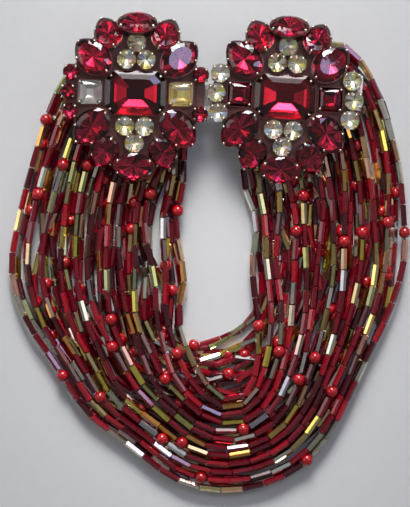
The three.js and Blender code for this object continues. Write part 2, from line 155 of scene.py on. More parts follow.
class NecklaceSizes(bpy.types.PropertyGroup):
    """Sizes of the beads, stones and settings."""

    bugle_length: length("Bugle length", "Length of a bugle bead", 8.9)
    bugle_diameter: length("Bugle diameter", "Across the corners of a bugle bead's hexagon", 2.75)
    bugle_hole: length("Bugle hole", "Diameter of a bugle bead's bore", 1)
    round_bead: length("Round bead", "Diameter of a round red bead", 5.2)
    thread: length("Thread", "Diameter of the thread", 0.6)
    bead_gap: length("Bead gap", "Thread that shows between two beads", 0.25)
    crown: length("Crown", "Height of a stone above the middle of its girdle", 1.9)
    pavilion: length("Pavilion", "Depth of a stone below the middle of its girdle", 2.6)
    girdle: length("Girdle", "Thickness of a stone's edge", 0.6)
    clearance: length("Clearance", "Gap between a stone and its cup", 0.3)
    cup_wall: length("Cup wall", "Thickness of a drawn metal cup", 0.4)
    cup_rim: length("Cup rim", "Height of a cup's rim above the middle of the girdle", -0.3)
    prong: length("Prong", "Diameter of a prong", 1.2)
    overlap: length("Overlap", "How far a round, oval or pear stone reaches over its cup", 0.5)
    step_overlap: length("Step overlap", "How far an octagon or square reaches over its cup", 0.25)
    top_strands: IntProperty(name="Top strands", description="Strands over the bundle", default=12)
    lower_strands: IntProperty(name="Lower strands", description="Strands on the floor", default=22)


class NecklaceColours(bpy.types.PropertyGroup):
    """Colours of the glass, metal and thread."""

    ruby_deep: swatch("Deep ruby", "Darkest ruby bugles", "#5c1020")
    ruby: swatch("Ruby", "Most of the ruby bugles", "#8e1026")
    ruby_bright: swatch("Bright ruby", "Lightest ruby bugles", "#c0142c")
    gold: swatch("Gold iris", "Gold-coated bugles", "#f0da62")
    olive: swatch("Olive iris", "Olive-brown bugles", "#c0a468")
    green: swatch("Green iris", "Green-gold bugles", "#bcbc7c")
    copper: swatch("Copper iris", "Copper-coated bugles", "#eaa858")
    rose: swatch("Rose iris", "Rose-gold bugles", "#f2b49c")
    lilac: swatch("Lilac iris", "Lilac-grey bugles", "#bab6c6")
    silver: swatch("Silver iris", "Silver-coated bugles", "#f4f0e2")
    steel: swatch("Steel iris", "Grey-green bugles", "#b8b8a4")
    round_red: swatch("Round bead", "Opaque red round beads", "#a0040f")
    thread: swatch("Thread", "Nylon thread", "#2a0a0c")
    stone: swatch("Stone", "Ruby crystal of the large stones", "#e23654")
    # The setting's red-brown tone is partly the gunmetal's own and partly a painted reflection of the ruby
    # stones round it
    setting: swatch("Setting", "Warm gunmetal of the plates and cups", "#84605a")
    prong: swatch("Prong", "Bright prongs", "#e6dcc8")
    end_bar: swatch("End bar", "Pale metal of the end bars and the clasp", "#e4e0dc")
    floor: swatch("Floor", "Paper under the necklace", "#c6c6c6")


def sizes():
    """The size properties of the scene."""
    return bpy.context.scene.necklace_sizes


def colours():
    """The colour properties of the scene."""
    return bpy.context.scene.necklace_colours


def add_node(material, kind, inputs=None, **settings):
    """Adds one node with its settings; an input is a value or the socket that it is linked from."""
    node = material.node_tree.nodes.new(kind)
    for name, value in settings.items():
        setattr(node, name, value)
    for name, value in (inputs or {}).items():
        if isinstance(value, bpy.types.NodeSocket):
            material.node_tree.links.new(value, node.inputs[name])
        else:
            node.inputs[name].default_value = value
    return node


def new_material(name):
    """An empty node material."""
    material = bpy.data.materials.new(name)
    material.use_nodes = True
    material.node_tree.nodes.clear()
    return material


def noise(material, scale, detail=2.0):
    """Clouds on the object itself, about this many a metre."""
    place = add_node(material, "ShaderNodeTexCoord")
    inputs = {"Vector": place.outputs["Object"], "Scale": scale, "Detail": detail}
    return add_node(material, "ShaderNodeTexNoise", inputs).outputs["Fac"]


def between(material, value, low, high):
    """Spreads a value from 0 to 1 between a low and a high one."""
    inputs = {"Value": value, "To Min": low, "To Max": high}
    return add_node(material, "ShaderNodeMapRange", inputs).outputs["Result"]


def shaded(material, tint, value):
    """A colour made darker or lighter by a value near 1."""
    return add_node(material, "ShaderNodeHueSaturation", {"Color": tint, "Value": value}).outputs["Color"]


def bumped(material, height, strength):
    """A normal that follows bumps a tenth of a millimetre deep."""
    inputs = {"Height": height, "Strength": strength, "Distance": 0.1 * MM}
    return add_node(material, "ShaderNodeBump", inputs).outputs["Normal"]


def finish_material(material, surface):
    """Adds the surface shader with its inputs, and the output."""
    shader = add_node(material, "ShaderNodeBsdfPrincipled", surface)
    add_node(material, "ShaderNodeOutputMaterial", {"Surface": shader.outputs["BSDF"]})
    return material


def coloured_beads(name, surface):
    """A bead material that takes its colour from the beads and clouds it slightly."""
    material = new_material(name)
    attribute = add_node(material, "ShaderNodeAttribute", attribute_name="bead_colour")
    # Clouds of about 3 mm, as in drawn glass rod
    clouds = between(material, noise(material, 330.0, 3.0), 0.72, 1.3)
    tone = shaded(material, attribute.outputs["Color"], clouds)
    return finish_material(material, {"Base Color": tone, **surface})


# What each bead material gives the eye, in the order of a strand's material slots
BEAD_FINISHES = {
    # Drawn and hex-cut ruby glass: it glows where light passes, and its facets flash
    "ruby_bugle_glass": {
        "Roughness": 0.06,
        "IOR": 1.52,
        "Transmission Weight": 0.6,
        "Coat Weight": 0.4,
        "Coat Roughness": 0.03,
    },
    # Bugle glass under a vapour-coated metal film: mirror-like facets; their shifting colours are partly
    # the film's own and partly painted sheen, mixed per facet
    "iris_coated_glass": {"Roughness": 0.2, "Metallic": 1.0, "Coat Weight": 0.5, "Coat Roughness": 0.05},
    # Opaque pressed glass: deep even red with a small sharp glint
    "opaque_red_glass": {"Roughness": 0.14, "IOR": 1.5, "Coat Weight": 0.5, "Coat Roughness": 0.03},
    # Twisted nylon thread: dull and dark
    "nylon_thread": {"Roughness": 0.7},
}


def crystal(name, tint):
    """Lead crystal with its facets ground and polished: clear, with sharp reflections."""
    material = new_material(name)
    # Polishing waves of about 2 mm, which break the reflections
    normal = bumped(material, noise(material, 500.0), 0.04)
    glass = {"Roughness": 0.02, "IOR": 1.56, "Transmission Weight": 1.0}
    return finish_material(material, {"Base Color": (*tint, 1), "Normal": normal, **glass})


def foil(name, low, high, metallic):
    """Mirror foil on the back of a stone: each facet throws back its own colour, in which glints and shade
    are painted.
    """
    material = new_material(name)
    attribute = add_node(material, "ShaderNodeAttribute", attribute_name="facet_colour")
    # Duller patches of about 1.5 mm, where the foil has aged
    rough = between(material, noise(material, 700.0), low, high)
    surface = {"Base Color": attribute.outputs["Color"], "Roughness": rough, "Metallic": metallic}
    return finish_material(material, surface)


def cast_metal(name, tint, low, high, millimetres):
    """Cast and plated metal: a satin skin with small pits and worn, brighter spots."""
    material = new_material(name)
    grain = noise(material, 1000 / millimetres, 4.0)
    surface = {
        "Base Color": shaded(material, (*tint, 1), between(material, grain, 0.75, 1.25)),
        "Roughness": between(material, grain, low, high),
        "Metallic": 1.0,
        "Normal": bumped(material, grain, 0.25),
    }
    return finish_material(material, surface)


def paper(name):
    """Matte paper: pale and even, with soft fibres."""
    material = new_material(name)
    # Fibres drawn at 4 mm, coarser than real ones, so that they show
    fibre = between(material, noise(material, 250.0), 0.97, 1.02)
    tone = shaded(material, (*colours().floor, 1), fibre)
    return finish_material(material, {"Base Color": tone, "Roughness": 0.8})


def made_once(name, make, *values):
    """The material of that name, made where it isn't there yet."""
    return bpy.data.materials.get(name) or make(name, *values)


def begin(add, **options):
    """Adds a primitive with nothing else selected and opens it in edit mode."""
    if bpy.context.object and bpy.context.object.mode != "OBJECT":
        bpy.ops.object.mode_set(mode="OBJECT")
    bpy.ops.object.select_all(action="DESELECT")
    add(**options)
    bpy.ops.object.mode_set(mode="EDIT")
    bpy.ops.mesh.select_mode(type="FACE")
    return bpy.context.object


def begin_along_x(add, **options):
    """Adds a primitive that lies along X, with its turn made part of its mesh."""
    piece = begin(add, rotation=(0, math.pi / 2, 0), **options)
    bpy.ops.object.mode_set(mode="OBJECT")
    bpy.ops.object.transform_apply(rotation=True)
    bpy.ops.object.mode_set(mode="EDIT")
    return piece


def pick(piece, test, domain="polygons"):
    """Selects the faces, edges or vertices whose centre and direction pass the test."""
    bpy.ops.mesh.select_mode(type={"polygons": "FACE", "edges": "EDGE", "vertices": "VERT"}[domain])
    bpy.ops.mesh.select_all(action="DESELECT")
    bpy.ops.object.mode_set(mode="OBJECT")
    mesh = piece.data
    for item in getattr(mesh, domain):
        if domain == "polygons":
            item.select = test(item.center, item.normal)
        elif domain == "edges":
            ends = [mesh.vertices[i].co for i in item.vertices]
            item.select = test((ends[0] + ends[1]) / 2, (ends[1] - ends[0]).normalized())
        else:
            item.select = test(item.co, item.normal)
    bpy.ops.object.mode_set(mode="EDIT")


def wrap():
    """Draws the hull round the levels in edit mode and joins its coplanar triangles."""
    bpy.ops.mesh.select_all(action="SELECT")
    bpy.ops.mesh.convex_hull()
    bpy.ops.mesh.select_all(action="SELECT")
    bpy.ops.mesh.dissolve_limited(angle_limit=math.radians(1))


def sink(depth):
    """Extrudes the selected faces downwards."""
    bpy.ops.mesh.extrude_region_move(TRANSFORM_OT_translate={"value": (0, 0, -depth)})


class Pattern:
    """The arrays of a shape, ready to be repeated."""

    def __init__(self, points, faces, normals=None, smooth=True):
        self.points, self.faces, self.normals, self.smooth = np.array(points), faces, normals, smooth
        self.corners = np.concatenate([np.array(f) for f in faces])
        self.counts = np.array([len(f) for f in faces])


def pattern_of(piece, smooth=False):
    """The pattern of a modelled piece, which is removed."""
    bpy.ops.object.mode_set(mode="OBJECT")
    if smooth:
        bpy.ops.object.shade_smooth()
    bpy.ops.object.transform_apply(location=True, rotation=True, scale=True)
    polygons = piece.data.polygons
    points = [v.co for v in piece.data.vertices]
    normals = np.array([p.normal for p in polygons])
    pattern = Pattern(points, [list(p.vertices) for p in polygons], normals, smooth)
    bpy.data.objects.remove(piece)
    return pattern


def joined(name, copies, materials, attribute):
    """One mesh object of many copies, each (pattern, matrices, material slots, colours)."""
    points, corners, counts, slots, tints, smooth = [], [], [], [], [], []
    first = 0
    for pattern, matrices, slot, tint in copies:
        matrices = np.array(matrices).reshape(-1, 4, 4)
        number, faces = len(matrices), len(pattern.counts)
        moved = np.einsum("nij,vj->nvi", matrices[:, :3, :3], pattern.points) + matrices[:, None, :3, 3]
        points.append(moved.reshape(-1, 3))
        step = first + np.arange(number)[:, None] * len(pattern.points)
        corners.append((pattern.corners[None] + step).reshape(-1))
        counts.append(np.tile(pattern.counts, number))
        slot = np.array(slot)
        slot = slot[:, None] if slot.ndim == 1 else slot
        slots.append(np.broadcast_to(slot, (number, faces)).reshape(-1))
        tint = np.array(tint, float)
        tint = tint.reshape(number, 1, 3) if tint.ndim == 2 else tint
        tints.append(np.broadcast_to(tint, (number, faces, 3)).reshape(-1, 3))
        smooth.append(np.full(number * faces, pattern.smooth))
        first += number * len(pattern.points)
    parts = points, corners, counts, slots, tints, smooth
    points, corners, counts, slots, tints, smooth = (np.concatenate(part) for part in parts)
    mesh = bpy.data.meshes.new(name)
    mesh.vertices.add(len(points))
    mesh.vertices.foreach_set("co", points.reshape(-1))
    mesh.loops.add(len(corners))
    mesh.loops.foreach_set("vertex_index", corners.astype(np.int32))
    mesh.polygons.add(len(counts))
    mesh.polygons.foreach_set("loop_start", (np.cumsum(counts) - counts).astype(np.int32))
    mesh.polygons.foreach_set("material_index", slots.astype(np.int32))
    mesh.polygons.foreach_set("use_smooth", smooth)
    mesh.update(calc_edges=True)
    layer = mesh.attributes.new(name=attribute, type="FLOAT_COLOR", domain="FACE")
    layer.data.foreach_set("color", np.column_stack([tints, np.ones(len(tints))]).reshape(-1))
    mesh.validate()
    for material in materials:
        mesh.materials.append(material)
    piece = bpy.data.objects.new(name, mesh)
    bpy.context.scene.collection.objects.link(piece)
    return piece


def smooth_curve(points):
    """A function that runs along a smooth curve through the points, from 0 to 1."""
    points = np.array(points, float)
    knots = np.vstack([2 * points[0] - points[1], points, 2 * points[-1] - points[-2]])

    def at(along):
        place = np.clip(np.atleast_1d(along), 0, 1) * (len(points) - 1)
        index = np.minimum(place.astype(int), len(points) - 2)
        part = (place - index)[:, None]
        a, b, c, d = (knots[index + i] for i in range(4))
        bend = (2 * a - 5 * b + 4 * c - d) * part**2
        turn = (3 * b - a - 3 * c + d) * part**3
        return 0.5 * (2 * b + (c - a) * part + bend + turn)

    return at


def band_edges(route):
    """The inner and outer edges of a band of strands, from one end bar to the other."""
    return smooth_curve([row[:2] for row in route]), smooth_curve([row[2:] for row in route])


def band_at(edges, along, steepness):
    """The edges and width of a band at places along it, and a fade that is 0 at the end bars."""
    inner, outer = edges[0](along), edges[1](along)
    width = np.linalg.norm(outer - inner, axis=1)
    fade = np.minimum(1, np.minimum(steepness * along, steepness * (1 - along)))
    return inner, outer, width, fade


def bundle_probe():
    """A function that gives the top of the bundle at a place, or None beside it, in millimetres."""
    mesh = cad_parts["strand_bundle"].data
    tree = BVHTree.FromPolygons([v.co for v in mesh.vertices], [p.vertices for p in mesh.polygons])

    def top(x, y):
        hit = tree.ray_cast(Vector((x * MM, y * MM, 100 * MM)), Vector((0, 0, -1)))[0]
        return None if hit is None else hit.z / MM

    return top


def top_strand_route(edges, probe, index, count):
    """The line of one top strand, over the bundle, in millimetres in the frame."""
    rng = random.Random(SWAY_SEED + index)
    along = np.linspace(0, 1, 3 * (len(TOP_ROUTE) - 1))
    inner, outer, width, fade = band_at(edges, along, STRAY_FADE)
    slack = np.maximum(0, width / (count - 1) - BEAD - CLEARANCE)
    wave = np.sin(along * 2 * STRAY_WAVES * math.pi + index * STRAY_PHASE)
    ripple = np.sin(along * rng.uniform(14, 26) + rng.uniform(0, FULL_TURN))
    loose = ripple * np.minimum(1, slack) * fade * LOOSE
    share = (index / (count - 1) + (STRAY * slack * fade * wave + loose) / width)[:, None]
    plan = inner * (1 - share) + outer * share + SHIFT[:2]
    heights = []
    for x, y in plan:
        near = [probe(x + dx, y + dy) for dx, dy in PROBE_STEPS]
        below = max([h for h in near if h is not None], default=BUNDLE_EDGE)
        heights.append(below + CLEARANCE + BEAD / 2)
    heights[0], heights[-1] = heights[1], heights[-2]
    return smooth_curve(np.column_stack([plan, heights]))


def lower_strand_route(edges, share, level, sway, rng):
    """The line of one lower strand inside the bundle, in millimetres in the frame."""
    phase = [rng.uniform(*span) for span in ((3, 7), (0, FULL_TURN), (8, 14), (0, FULL_TURN))]
    along = np.linspace(0, 1, 90)
    inner, outer, width, fade = band_at(edges, along, LOWER_FADE)
    ripple = RIPPLE * np.sin(along * phase[2] * math.pi + phase[3])
    wave = np.sin(along * phase[0] * math.pi + phase[1]) + ripple
    across = np.clip(share + sway * fade * wave / width, LOWER_EDGE, 1 - LOWER_EDGE)
    bottom = BUNDLE_EDGE / 2
    top = BUNDLE_EDGE + (BUNDLE_MIDDLE - BUNDLE_EDGE) * np.interp(across, *MOUND) - bottom
    plan = inner * (1 - across[:, None]) + outer * across[:, None] + SHIFT[:2]
    return smooth_curve(np.column_stack([plan, bottom + (top - bottom) * level]))


def string_beads(route, seed):
    """Threads beads on a route: (kind, centre, direction) of each, and the thread, in millimetres."""
    size = sizes()
    rng = random.Random(seed)
    line = route(np.linspace(0, 1, 1500))
    run = np.concatenate([[0], np.cumsum(np.linalg.norm(np.diff(line, axis=0), axis=1))])
    start, end = END_MARGIN, run[-1] - END_MARGIN
    spans = {"bugle": size.bugle_length / MM, "round": size.round_bead / MM}
    gap = size.bead_gap / MM
    kinds, used, until = [], 0.0, rng.randint(*FIRST_ROUND)
    while True:
        kind = "round" if until == 0 else "bugle"
        until = rng.randint(*NEXT_ROUND) if until == 0 else until - 1
        step = spans[kind] + gap
        if start + used + step > end:
            break
        kinds.append(kind)
        used += step
    spare = (end - start - used) / max(1, len(kinds))

    def at(distance):
        return np.array([np.interp(distance, run, line[:, i]) for i in range(3)])

    place, beads = start + spare / 2, []
    for kind in kinds:
        a, b = at(place), at(place + spans[kind])
        beads.append((kind, (a + b) / 2, (b - a) / np.linalg.norm(b - a)))
        place += spans[kind] + gap + spare
    threaded = (run > start - THREAD_OVERRUN) & (run < end + THREAD_OVERRUN)
    return beads, line[threaded][::THREAD_STEP]


def bead_matrix(centre, direction, roll):
    """Places a bead that lies along X, rolled about its own axis."""
    side = np.cross([0, 0, 1.0], direction)
    side /= np.linalg.norm(side)
    up = np.cross(direction, side)
    cos, sin = math.cos(roll), math.sin(roll)
    matrix = np.eye(4)
    matrix[:3, 0] = direction
    matrix[:3, 1] = side * cos + up * sin
    matrix[:3, 2] = up * cos - side * sin
    matrix[:3, 3] = np.array(centre) * MM
    return matrix


def thread_tube(line, diameter):
    """A closed tube of thread along a line in millimetres."""
    ahead = np.gradient(line, axis=0)
    ahead /= np.linalg.norm(ahead, axis=1)[:, None]
    side = np.cross([0, 0, 1.0], ahead)
    side /= np.linalg.norm(side, axis=1)[:, None]
    up = np.cross(ahead, side)
    turns = np.arange(THREAD_SIDES) * 2 * math.pi / THREAD_SIDES
    ring = side[:, None] * np.cos(turns)[:, None] + up[:, None] * np.sin(turns)[:, None]
    points = (line[:, None] * MM + ring * diameter / 2).reshape(-1, 3)
    faces = []
    for low in range(0, len(points) - THREAD_SIDES, THREAD_SIDES):
        for j in range(THREAD_SIDES):
            a, b = low + j, low + (j + 1) % THREAD_SIDES
            faces.append([a, b, b + THREAD_SIDES, a + THREAD_SIDES])
    faces.append(list(range(THREAD_SIDES))[::-1])
    faces.append(list(range(len(points) - THREAD_SIDES, len(points))))
    return Pattern(points, faces)


def bugle_pattern():
    """A hexagonal bugle bead along X, with its bore and chamfered ends."""
    size = sizes()
    half, chamfer, rim = size.bugle_length / 2, 0.14 * MM, 0.2 * MM
    bead = begin_along_x(
        bpy.ops.mesh.primitive_cylinder_add,
        vertices=6,
        radius=size.bugle_diameter / 2,
        depth=size.bugle_length,
    )
    pick(bead, lambda centre, way: abs(centre.x) > half * 0.9 and abs(way.x) < 0.5, "edges")
    bpy.ops.mesh.bevel(offset=chamfer, segments=1)
    pick(bead, lambda centre, normal: abs(normal.x) > 0.9)
    bpy.ops.mesh.inset(thickness=(size.bugle_diameter - size.bugle_hole) / 2 - rim)
    bpy.ops.mesh.bridge_edge_loops()
    return pattern_of(bead)


def round_bead_pattern():
    """A round pressed bead along X, flattened a little where the bore opens."""
    radius = sizes().round_bead / 2
    bead = begin_along_x(bpy.ops.mesh.primitive_uv_sphere_add, segments=12, ring_count=8, radius=radius)
    pick(bead, lambda place, normal: abs(place.x) > radius * 0.998, "vertices")
    bpy.ops.transform.resize(value=(0.9, 1, 1), center_override=(0, 0, 0))
    return pattern_of(bead, smooth=True)


def bead_tints(rng, number, faces):
    """Material slots and face colours for a run of bugle beads: about three in five are ruby."""
    colour = colours()
    ruby = [colour.ruby_deep, colour.ruby, colour.ruby, colour.ruby_bright]
    iris = [colour.gold, colour.olive, colour.green, colour.copper]
    iris += [colour.rose, colour.lilac, colour.silver, colour.steel]
    slots, tints = [], []
    for _ in range(number):
        coated = rng.random() < COATED_SHARE
        slots.append(1 if coated else 0)
        palette = iris if coated else ruby
        base = np.array(palette[rng.randrange(len(palette))])
        shades = np.tile(base * rng.uniform(0.8, 1.2), (faces, 1))
        # On a coated bead each facet mixes in a second film colour: partly the film's own colours, partly
        # painted sheen for the colour play that the film shows at each angle
        if coated:
            other = np.array(iris[rng.randrange(len(iris))])
            sheen_mix = np.array([rng.random() for _ in range(faces)])[:, None]
            shades = shades * (1 - 0.5 * sheen_mix) + other * 0.5 * sheen_mix
        tints.append(shades)
    return slots, np.array(tints)


def strand_copies(route, seed, patterns):
    """The beads and thread of one strand, as copies for joined."""
    rng = random.Random(seed)
    bugle, ball = patterns
    colour = colours()
    radius = sizes().round_bead / 2 / MM
    beads, line = string_beads(route, seed)
    bugles = [bead_matrix(c, d, rng.uniform(0, math.pi / 3)) for kind, c, d in beads if kind == "bugle"]
    rounds = []
    for kind, centre, direction in beads:
        if kind == "round":
            lift = np.array([0, 0, max(ROUND_RISE, radius - centre[2])])
            rounds.append(bead_matrix(centre + lift, direction, 0))
    slots, tints = bead_tints(rng, len(bugles), len(bugle.counts))
    copies = [(bugle, bugles, slots, tints)]
    if rounds:
        reds = [np.array(colour.round_red) * rng.uniform(0.85, 1.15) for _ in rounds]
        copies.append((ball, rounds, 2, reds))
    copies.append((thread_tube(line, sizes().thread), [np.eye(4)], 3, [colour.thread]))
    return copies


def bead_materials():
    """The four materials of a strand, in the order of its slots."""
    return [made_once(name, coloured_beads, surface) for name, surface in BEAD_FINISHES.items()]


class NECKLACE_OT_top_strands(bpy.types.Operator):
    """Strings the twelve top strands over the lower ones"""

    bl_idname = "necklace.top_strands"
    bl_label = "Top Strands"

    def execute(self, context):
        count = sizes().top_strands
        edges, probe = band_edges(TOP_ROUTE), bundle_probe()
        patterns = bugle_pattern(), round_bead_pattern()
        for index in range(count):
            route = top_strand_route(edges, probe, index, count)
            copies = strand_copies(route, TOP_SEED + index, patterns)
            strand = joined(f"top_strand_{index + 1}", copies, bead_materials(), "bead_colour")
            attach(strand, "root")
            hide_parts(f"strand_{index + 1}")
        return {"FINISHED"}


class NECKLACE_OT_lower_strands(bpy.types.Operator):
    """Strings the two lower layers of strands, one on the floor and one over it"""

    bl_idname = "necklace.lower_strands"
    bl_label = "Lower Strands"

    def execute(self, context):
        edges = band_edges(LOWER_ROUTE)
        patterns = bugle_pattern(), round_bead_pattern()
        rng = random.Random(LOWER_SWAY_SEED)
        copies = []
        for layer, row in enumerate(LOWER_LAYERS):
            number = sizes().lower_strands - row["fewer"]
            first, last = row["shares"]
            for index in range(number):
                share = first + (last - first) * index / (number - 1)
                route = lower_strand_route(edges, share, row["levels"][index % 2], row["sway"], rng)
                copies += strand_copies(route, LOWER_SEED + layer * LAYER_SEEDS + index, patterns)
        strands = joined("lower_strands", copies, bead_materials(), "bead_colour")
        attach(strands, "root")
        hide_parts("strand_bundle")
        return {"FINISHED"}


# Length, width and corner cut of each kind of stone, in millimetres, and its height over the plate
OCTAGON, SQUARE, PEAR, PETAL, OVAL = (25, 18, 3.6), (9.6, 9.6, 0.9), (18, 13, 0), (15, 11, 0), (16, 11, 0)
OCTAGON_LEVEL, SQUARE_LEVEL, PEAR_LEVEL, PETAL_LEVEL, OVAL_LEVEL = 4.6, 3.8, 5.4, 3.1, 4.3
LARGE_ROUND, SMALL_ROUND = 7.2, 6.0
ROUND_LEVEL, FOOT = 4.8 + CLEARANCE, 0.8 + CLEARANCE

# Where the stones of a plaque stand, each beside the one before it, in millimetres and degrees
LARGE_CUP, SMALL_CUP = LARGE_ROUND / 2 + ROUND_CUP_WALL, SMALL_ROUND / 2 + ROUND_CUP_WALL
OCTAGON_REACH = OCTAGON[0] / 2 + CAD_CUP_WALL + CLEARANCE
OCTAGON_RISE = OCTAGON[1] / 2 + CAD_CUP_WALL + CLEARANCE
SQUARE_X = OCTAGON_REACH + CLEARANCE + SQUARE[0] / 2 + CAD_CUP_WALL + CLEARANCE
PAIR_X, PAIR_Y = LARGE_CUP + CLEARANCE / 2, OCTAGON_RISE + CLEARANCE + LARGE_CUP
THIRD_Y = PAIR_Y + PAIR_X * math.sqrt(3)
END_X = SQUARE_X + SQUARE[0] / 2 + CAD_CUP_WALL + 2 * CLEARANCE
END_BACK = 0.3
OVAL_START = THIRD_Y + LARGE_CUP + CLEARANCE
OVAL_TILT = {"upper": 42, "lower": 20}
PEAR_STEP = (PEAR[0] / 2 + CAD_CUP_WALL + CLEARANCE) * math.sqrt(0.5) - OCTAGON[2] / 2
PEAR_TILT, PEAR_TAPER = 12, 0.35
PETAL_RING = OVAL_START + PETAL[1] * 0.24
PETAL_ANGLE, PETAL_TILT = 64, 30

Stone = namedtuple("Stone", "name cut size x y level faces tilt spin", defaults=(0, 0, 0))
Group = namedtuple("Group", "name cup diameter places")


def large_stones(clasp):
    """The large stones of one plaque, whose clasp end lies towards plus or minus X."""
    stones = [
        Stone("octagon", "step", OCTAGON, 0, 0, OCTAGON_LEVEL),
        Stone("square_outer", "step", SQUARE, -clasp * SQUARE_X, 0, SQUARE_LEVEL),
        Stone("square_inner", "step", SQUARE, clasp * SQUARE_X, 0, SQUARE_LEVEL),
    ]
    ring_x = PETAL_RING * math.cos(math.radians(PETAL_ANGLE))
    ring_y = PETAL_RING * math.sin(math.radians(PETAL_ANGLE))
    for row, sign in (("upper", 1), ("lower", -1)):
        tilt = OVAL_TILT[row]
        y = sign * (OVAL_START + (OVAL[1] / 2 + CLEARANCE) * math.cos(math.radians(tilt)))
        stones.append(Stone(f"petal_{row}_middle", "oval", OVAL, 0, y, OVAL_LEVEL, sign * 90, tilt, 90))
        for end, way in (("outer", -clasp), ("inner", clasp)):
            x, y = way * (OCTAGON_REACH + PEAR_STEP), sign * (OCTAGON_RISE + PEAR_STEP)
            faces = math.degrees(math.atan2(sign, way))
            stones.append(Stone(f"pear_{row}_{end}", "pear", PEAR, x, y, PEAR_LEVEL, faces, PEAR_TILT))
            x, y = way * ring_x, sign * ring_y
            faces = math.degrees(math.atan2(y, x))
            stones.append(Stone(f"petal_{row}_{end}", "pear", PETAL, x, y, PETAL_LEVEL, faces, PETAL_TILT))
    return stones


def round_groups(side):
    """The groups of round stones of one plaque; a group's feet meet at its last stone."""
    clasp = PLAQUES[side]["clasp"]
    groups = []
    for name, sign in (("trio_upper", 1), ("trio_lower", -1)):
        places = [(-PAIR_X, sign * PAIR_Y), (PAIR_X, sign * PAIR_Y), (0, sign * THIRD_Y)]
        groups.append(Group(name, LARGE_CUP, LARGE_ROUND, places))
    cup, diameter = (SMALL_CUP, SMALL_ROUND) if side == "left" else (LARGE_CUP, LARGE_ROUND)
    middle, spread = END_X + cup, 2 * LARGE_CUP + CLEARANCE
    for name, way in (("trio_outer", -clasp), ("trio_inner", clasp)):
        places = [(way * (middle - END_BACK * cup), y) for y in (spread, -spread)]
        if not (side == "left" and name == "trio_inner"):
            places.append((way * middle, 0))
        groups.append(Group(name, cup, diameter, places))
    return groups


def plaque_matrix(side):
    """Places a plaque, from its own frame in metres."""
    plaque = PLAQUES[side]
    place = Vector((plaque["x"] + SHIFT[0], plaque["y"] + SHIFT[1], PLATE_TOP)) * MM
    return Matrix.Translation(place) @ Matrix.Rotation(math.radians(plaque["turn"]), 4, "Z")


def stone_matrix(x, y, level, faces=0, tilt=0, spin=0):
    """Places a stone on its plaque: turned to face outwards, tilted down and spun in its cup."""
    matrix = Matrix.Translation(Vector((x, y, level)) * MM)
    for angle, axis in ((faces, "Z"), (tilt, "Y"), (spin, "Z")):
        matrix = matrix @ Matrix.Rotation(math.radians(angle), 4, axis)
    return matrix


def add_ring(cut, size, share, height, sides, turn=0.0, grow=0.0):
    """Adds one level of a stone's outline to the mesh in edit mode."""
    long, wide, corner = (s * MM * share for s in size)
    long, wide = long + 2 * grow, wide + 2 * grow
    place = {"location": (0, 0, height)}
    if cut == "step":
        for reach, rise in ((long, wide - 2 * corner), (long - 2 * corner, wide)):
            bpy.ops.mesh.primitive_plane_add(size=1, **place)
            bpy.ops.transform.resize(value=(reach, rise, 1), center_override=(0, 0, height))
        return
    bpy.ops.mesh.primitive_circle_add(vertices=sides, radius=0.5, rotation=(0, 0, turn), **place)
    bpy.ops.transform.resize(value=(long, wide, 1), center_override=(0, 0, height))


def begin_levels(depth):
    """Begins a stone or a cup with a small triangle at its lowest point."""
    return begin(bpy.ops.mesh.primitive_circle_add, vertices=3, radius=0.2 * MM, location=(0, 0, -depth))


def taper(piece, long):
    """Draws the wide ring of a pear in towards its point, column by column."""
    bpy.ops.object.mode_set(mode="OBJECT")
    for vertex in piece.data.vertices:
        place = max(0.0, min(1.0, vertex.co.x / (long * MM / 2)))
        vertex.co.y *= 1 - PEAR_TAPER * place**2
    bpy.ops.object.mode_set(mode="EDIT")


def stone_pattern(cut, size, sides=16):
    """A faceted stone: table, crown, girdle and pavilion as the hull of its levels."""
    measure = sizes()
    over = 2 * (measure.step_overlap if cut == "step" else measure.overlap) / MM
    size = (size[0] + over, size[1] + over, size[2])
    crown, pavilion, girdle = measure.crown, measure.pavilion, measure.girdle / 2
    half = math.pi / sides
    # Each level: share of the outline, height, and turn
    levels = [(0.42, -pavilion * 0.72, half), (0.74, -pavilion * 0.5, 0), (1, -girdle, half)]
    levels += [(1, girdle, half), (0.86, crown * 0.62, 0), (0.6, crown, half)]
    if cut == "step":
        levels = [(0.3, -pavilion, 0), (0.68, -pavilion * 0.62, 0), (1, -girdle, 0)]
        levels += [(1, girdle, 0), (0.84, crown * 0.65, 0), (0.62, crown, 0)]
    stone = begin_levels(pavilion)
    for share, height, turn in levels:
        add_ring(cut, size, share, height, sides, turn)
    if cut == "pear":
        taper(stone, size[0])
    wrap()
    return pattern_of(stone)


def cup_pattern(cut, size, depth, wall, sides=24):
    """A drawn cup on its leg: the hull of its levels, hollowed where the stone sits."""
    measure = sizes()
    grow = measure.clearance + wall
    cup = begin_levels(depth)
    for share, height in ((0.66, -depth), (1, -measure.girdle), (1, measure.cup_rim)):
        add_ring(cut, size, share, height, sides, 0, grow * share)
    if cut == "pear":
        taper(cup, size[0] + 2 * grow / MM)
    wrap()
    pick(cup, lambda centre, normal: normal.z > 0.99)
    bpy.ops.mesh.inset(thickness=wall)
    sink(measure.cup_rim + measure.girdle)
    sink(measure.pavilion - measure.girdle / 2)
    bpy.ops.transform.resize(value=(0.55, 0.55, 1), center_override=(0, 0, 0))
    return pattern_of(cup)


def prong_pattern():
    """A small claw with a rounded head, leaning over the stone."""
    size = sizes().prong
    prong = begin(bpy.ops.mesh.primitive_uv_sphere_add, segments=8, ring_count=6, radius=size / 2)
    pick(prong, lambda place, normal: place.z < -size * 0.1, "vertices")
    bpy.ops.transform.translate(value=(0, 0, -size))
    return pattern_of(prong, smooth=True)


